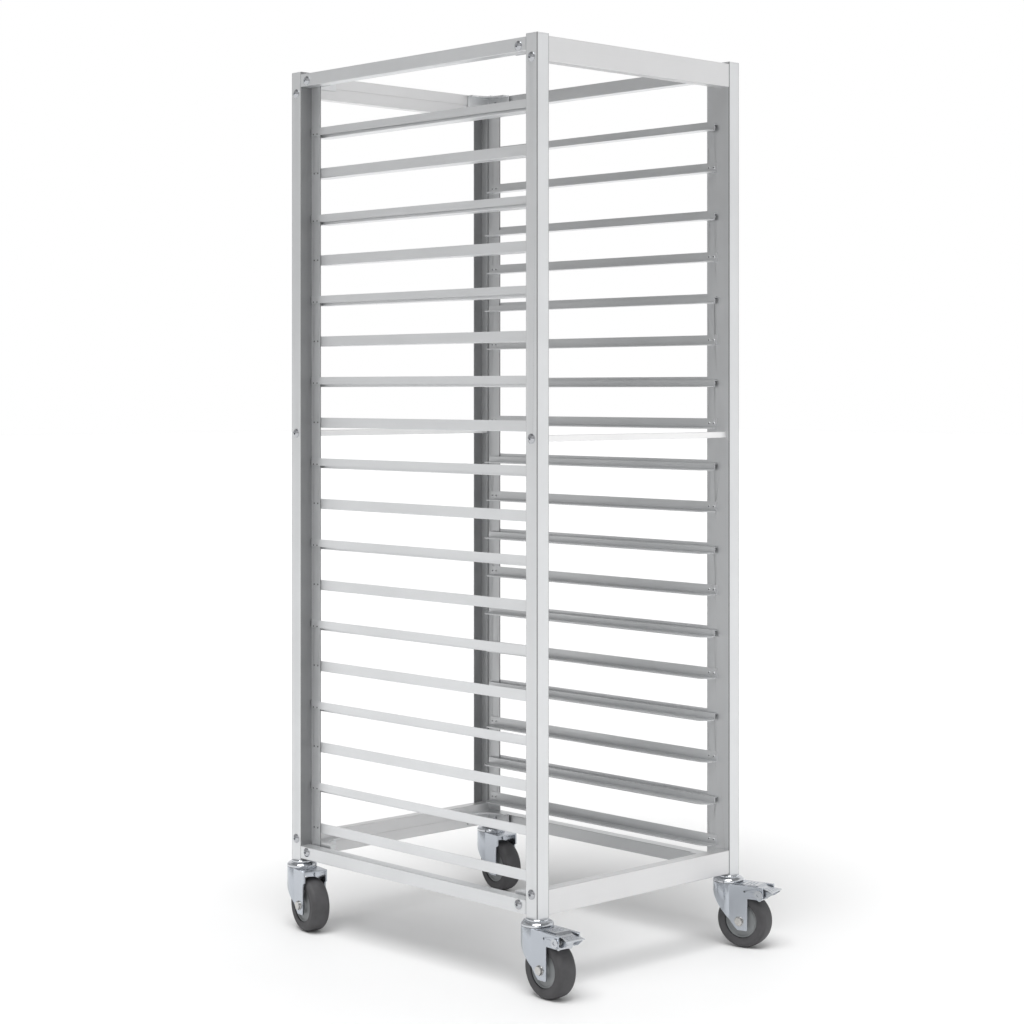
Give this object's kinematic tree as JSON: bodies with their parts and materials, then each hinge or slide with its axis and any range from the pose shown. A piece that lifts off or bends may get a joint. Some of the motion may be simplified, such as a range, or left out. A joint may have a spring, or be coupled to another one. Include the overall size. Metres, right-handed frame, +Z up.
{
  "type": "sheet pan rack",
  "caption": "Open end-loading rack for sheet pans: four finned posts, rails, paired ledge runners, and swivel castors with brake pedals at the front.",
  "frame": {"origin": "on the floor, under the middle of the four posts", "axes": "+X to the right of a person facing the open front, +Y from the open front to the rear, +Z up"},
  "size_m": [0.5743, 0.7727, 1.627],
  "materials": {
    "post_aluminium": "satin anodised, fine vertical drawing lines",
    "rail_aluminium": "satin anodised",
    "runner_aluminium": "mill finish, brushed along its length",
    "gusset_aluminium": "mill finish",
    "rivet_aluminium": "bright",
    "bolt_chrome": "polished",
    "head_zinc": "bright zinc plate",
    "fork_zinc": "zinc plate, slightly blue",
    "pedal_zinc": "zinc plate",
    "axle_zinc": "zinc plate",
    "hub_grey": "moulded",
    "tyre_grey": "smooth non-marking rubber",
    "sleeve_black": "moulded"
  },
  "bodies": {
    "frame": {"post_front_left": "post_aluminium", "post_front_right": "post_aluminium", "post_rear_left": "post_aluminium", "post_rear_right": "post_aluminium", "side_rail_top_left": "rail_aluminium", "side_rail_top_right": "rail_aluminium", "side_rail_bottom_left": "rail_aluminium", "side_rail_bottom_right": "rail_aluminium", "front_rail_top": "rail_aluminium", "front_rail_bottom": "rail_aluminium", "rear_rail_top": "rail_aluminium", "rear_rail_bottom": "rail_aluminium", "mid_braces": "rail_aluminium", "rear_stops": "rail_aluminium", "post_caps": "post_aluminium", "stem_sleeves": "sleeve_black", "corner_gussets": "gusset_aluminium", "frame_bolts": "bolt_chrome", "runner_rivets": "rivet_aluminium", "runner_pair_01": "runner_aluminium", "runner_pair_02": "runner_aluminium", "runner_pair_03": "runner_aluminium", "runner_pair_04": "runner_aluminium", "runner_pair_05": "runner_aluminium", "runner_pair_06": "runner_aluminium", "runner_pair_07": "runner_aluminium", "runner_pair_08": "runner_aluminium", "runner_pair_09": "runner_aluminium", "runner_pair_10": "runner_aluminium", "runner_pair_11": "runner_aluminium", "runner_pair_12": "runner_aluminium", "runner_pair_13": "runner_aluminium", "runner_pair_14": "runner_aluminium", "runner_pair_15": "runner_aluminium", "runner_pair_16": "runner_aluminium", "runner_pair_17": "runner_aluminium", "runner_pair_18": "runner_aluminium", "castor_head_front_left": "head_zinc", "castor_head_front_right": "head_zinc", "castor_head_rear_left": "head_zinc", "castor_head_rear_right": "head_zinc"},
    "swivel_front_left": {"castor_fork_front_left": "fork_zinc", "castor_axle_front_left": "axle_zinc"},
    "wheel_front_left": {"wheel_tyre_front_left": "tyre_grey", "wheel_hub_front_left": "hub_grey"},
    "pedal_front_left": {"brake_pedal_front_left": "pedal_zinc"},
    "swivel_front_right": {"castor_fork_front_right": "fork_zinc", "castor_axle_front_right": "axle_zinc"},
    "wheel_front_right": {"wheel_tyre_front_right": "tyre_grey", "wheel_hub_front_right": "hub_grey"},
    "pedal_front_right": {"brake_pedal_front_right": "pedal_zinc"},
    "swivel_rear_left": {"castor_fork_rear_left": "fork_zinc", "castor_axle_rear_left": "axle_zinc"},
    "wheel_rear_left": {"wheel_tyre_rear_left": "tyre_grey", "wheel_hub_rear_left": "hub_grey"},
    "swivel_rear_right": {"castor_fork_rear_right": "fork_zinc", "castor_axle_rear_right": "axle_zinc"},
    "wheel_rear_right": {"wheel_tyre_rear_right": "tyre_grey", "wheel_hub_rear_right": "hub_grey"}
  },
  "joints": [
    {"name": "castor_swivel_front_left", "type": "hinge", "parent": "frame", "child": "swivel_front_left", "pos_m": [-0.246, -0.322, 0.1172], "axis": [0, 0, 1], "continuous": true},
    {"name": "wheel_spin_front_left", "type": "hinge", "parent": "swivel_front_left", "child": "wheel_front_left", "pos_m": [-0.24837, -0.35592, 0.05], "axis": [0.9976, -0.0698, 0], "continuous": true},
    {"name": "brake_press_front_left", "type": "hinge", "parent": "swivel_front_left", "child": "pedal_front_left", "pos_m": [-0.25116, -0.39582, 0.103], "axis": [0.9976, -0.0698, 0], "range_deg": [0, 15]},
    {"name": "castor_swivel_front_right", "type": "hinge", "parent": "frame", "child": "swivel_front_right", "pos_m": [0.246, -0.322, 0.1172], "axis": [0, 0, 1], "continuous": true},
    {"name": "wheel_spin_front_right", "type": "hinge", "parent": "swivel_front_right", "child": "wheel_front_right", "pos_m": [0.25422, -0.35499, 0.05], "axis": [0.9703, 0.2419, 0], "continuous": true},
    {"name": "brake_press_front_right", "type": "hinge", "parent": "swivel_front_right", "child": "pedal_front_right", "pos_m": [0.2639, -0.3938, 0.103], "axis": [0.9703, 0.2419, 0], "range_deg": [0, 15]},
    {"name": "castor_swivel_rear_left", "type": "hinge", "parent": "frame", "child": "swivel_rear_left", "pos_m": [-0.246, 0.322, 0.1172], "axis": [0, 0, 1], "continuous": true},
    {"name": "wheel_spin_rear_left", "type": "hinge", "parent": "swivel_rear_left", "child": "wheel_rear_left", "pos_m": [-0.25249, 0.28863, 0.05], "axis": [0.9816, -0.1908, 0], "continuous": true},
    {"name": "castor_swivel_rear_right", "type": "hinge", "parent": "frame", "child": "swivel_rear_right", "pos_m": [0.246, 0.322, 0.1172], "axis": [0, 0, 1], "continuous": true},
    {"name": "wheel_spin_rear_right", "type": "hinge", "parent": "swivel_rear_right", "child": "wheel_rear_right", "pos_m": [0.24186, 0.28825, 0.05], "axis": [0.9925, -0.1219, 0], "continuous": true}
  ]
}
